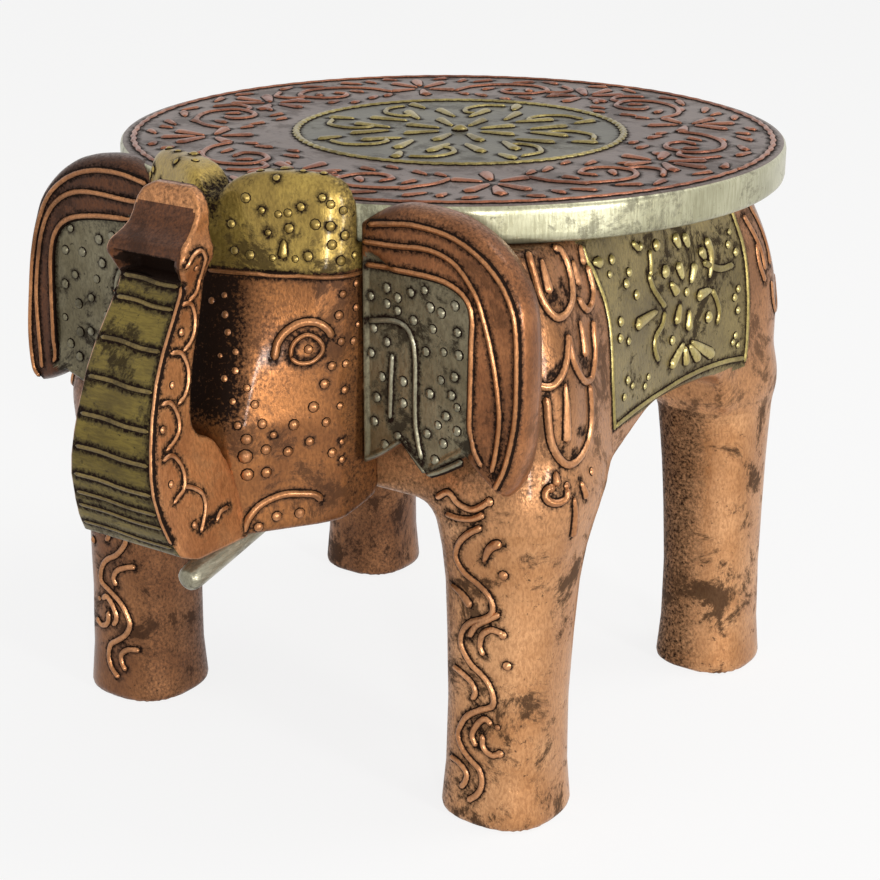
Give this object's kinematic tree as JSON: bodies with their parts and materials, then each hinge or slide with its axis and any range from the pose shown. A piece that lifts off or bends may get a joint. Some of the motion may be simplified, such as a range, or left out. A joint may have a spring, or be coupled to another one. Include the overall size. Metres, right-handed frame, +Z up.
{
  "type": "carved elephant stool",
  "caption": "Low carved wooden stool shaped like a standing elephant, with a round seat board on its back, a raised trunk, spread ears and tusks, in embossed antique metallic paint.",
  "frame": {"origin": "on the floor, under the middle of the whole stool's bounding box", "axes": "+Z up, -Y the way the elephant looks, +X to the elephant's left"},
  "size_m": [0.232, 0.295, 0.2128],
  "materials": {
    "seat_paint": "satin metallic paint over carved wood, mauve copper with raised scrolls",
    "copper_paint": "satin metallic copper paint over carved wood with a dark antique wash",
    "ear_paint": "satin metallic copper paint with a silver green inner field",
    "gold_paint": "satin olive gold metallic paint with a dark wash in the grooves",
    "silver_paint": "satin silver metallic paint, worn",
    "bare_wood": "unfinished turned hardwood"
  },
  "bodies": {
    "root": {"seat": "seat_paint", "seat_pegs": "bare_wood", "body": "copper_paint", "leg_front_left": "copper_paint", "leg_front_right": "copper_paint", "leg_rear_left": "copper_paint", "leg_rear_right": "copper_paint", "leg_pegs": "bare_wood", "head": "copper_paint", "head_pegs": "bare_wood", "trunk": "gold_paint", "trunk_pegs": "bare_wood", "ear_left": "ear_paint", "ear_right": "ear_paint", "ear_pegs": "bare_wood", "tusk_left": "silver_paint", "tusk_right": "silver_paint", "tail": "copper_paint", "tail_peg": "bare_wood"}
  },
  "joints": []
}
